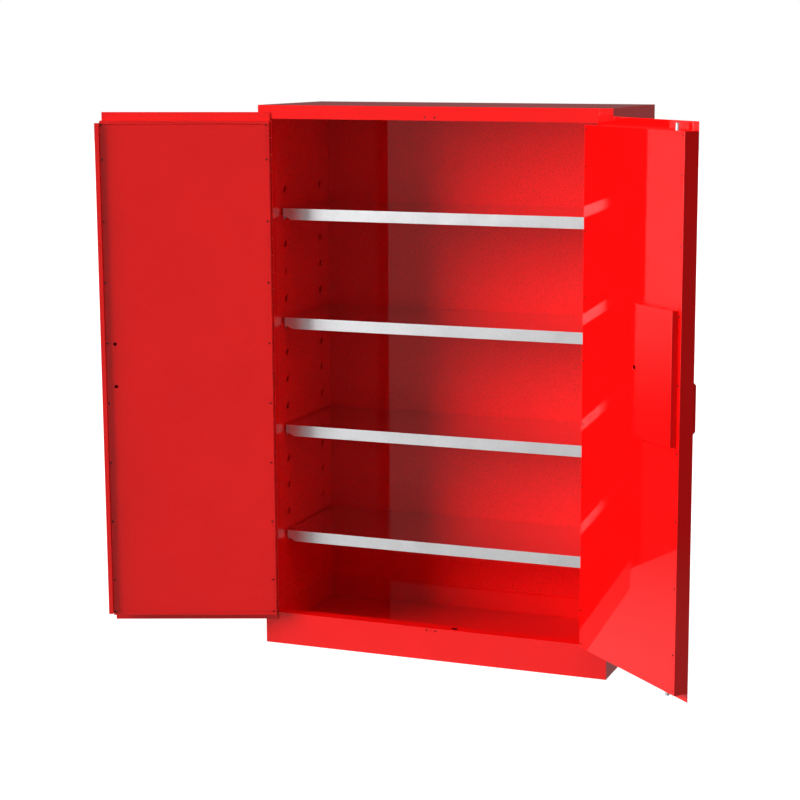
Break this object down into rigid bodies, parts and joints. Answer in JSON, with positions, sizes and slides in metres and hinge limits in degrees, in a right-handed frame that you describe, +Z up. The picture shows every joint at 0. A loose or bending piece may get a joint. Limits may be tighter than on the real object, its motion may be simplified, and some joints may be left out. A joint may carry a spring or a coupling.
{
  "type": "flammable storage cabinet",
  "caption": "Double-wall steel safety cabinet with both hinged doors standing open, adjustable shelves, a leak-proof sump and a two-bolt door lock.",
  "frame": {"origin": "on the floor, in the middle of the cabinet's base", "axes": "+Z up, +X to the right of someone facing the front, +Y towards the back"},
  "size_m": [1.8416, 0.8327, 1.651],
  "materials": {
    "red_paint": "gloss powder coat",
    "galvanised": "galvanised",
    "plated_steel": "zinc plated",
    "dark_steel": "black oxide"
  },
  "bodies": {
    "cabinet": {"outer_side_left": "red_paint", "outer_side_right": "red_paint", "outer_top": "red_paint", "outer_bottom": "red_paint", "outer_back": "red_paint", "header_rail": "red_paint", "sill_rail": "red_paint", "inner_side_left": "red_paint", "inner_side_right": "red_paint", "inner_back": "red_paint", "inner_ceiling": "red_paint", "sump_pan": "red_paint", "strike_plate_top": "dark_steel", "strike_plate_bottom": "dark_steel", "strike_screws": "dark_steel", "shelf_1": "galvanised", "shelf_2": "galvanised", "shelf_3": "galvanised", "shelf_4": "galvanised", "shelf_clips_1": "galvanised", "shelf_clips_2": "galvanised", "shelf_clips_3": "galvanised", "shelf_clips_4": "galvanised", "hinge_frame_left": "red_paint", "hinge_frame_right": "red_paint", "hinge_pin_left": "plated_steel", "hinge_pin_right": "plated_steel"},
    "left_door": {"left_door_skin": "red_paint", "left_door_liner": "red_paint", "left_door_rivets": "dark_steel", "left_hinge_leaf": "red_paint", "meeting_strip": "red_paint", "left_pull_handle": "red_paint", "left_handle_screws": "dark_steel"},
    "right_door": {"right_door_skin": "red_paint", "right_door_liner": "red_paint", "right_door_rivets": "dark_steel", "right_hinge_leaf": "red_paint", "right_pull_handle": "red_paint", "right_handle_screws": "dark_steel", "latch_case": "galvanised", "handle_escutcheon": "plated_steel", "rod_guides": "galvanised", "lock_cover": "red_paint", "lock_cover_screws": "red_paint"},
    "turn_handle": {"turn_handle": "plated_steel", "latch_cam": "galvanised", "cam_nut": "plated_steel"},
    "key_cylinder": {"key_cylinder": "plated_steel"},
    "top_bolt": {"top_bolt_rod": "plated_steel"},
    "bottom_bolt": {"bottom_bolt_rod": "plated_steel"}
  },
  "joints": [
    {"name": "left_door_hinge", "type": "hinge", "parent": "cabinet", "child": "left_door", "pos_m": [-0.5025, -0.2306, 0.855], "axis": [0, 0, -1], "range_deg": [-159.5, 20.5]},
    {"name": "right_door_hinge", "type": "hinge", "parent": "cabinet", "child": "right_door", "pos_m": [0.5025, -0.2306, 0.855], "axis": [0, 0, 1], "range_deg": [-137.4, 42.6]},
    {"name": "handle_turn", "type": "hinge", "parent": "right_door", "child": "turn_handle", "pos_m": [0.78737, -0.49255, 0.963], "axis": [0.6769, 0.7361, 0], "range_deg": [0, 70], "stiffness_Nm_per_rad": 0.8, "springref_deg": -28.65},
    {"name": "key_turn", "type": "hinge", "parent": "turn_handle", "child": "key_cylinder", "pos_m": [0.80768, -0.47047, 0.963], "axis": [0.6769, 0.7361, 0], "range_deg": [0, 90]},
    {"name": "top_bolt_slide", "type": "slide", "parent": "right_door", "child": "top_bolt", "axis": [0, 0, -1], "range_m": [0, 0.022]},
    {"name": "bottom_bolt_slide", "type": "slide", "parent": "right_door", "child": "bottom_bolt", "axis": [0, 0, 1], "range_m": [0, 0.022]}
  ],
  "couplings": [
    {"joint": "top_bolt_slide", "follows": "handle_turn", "m_per_rad": 0.018},
    {"joint": "bottom_bolt_slide", "follows": "handle_turn", "m_per_rad": 0.018}
  ]
}
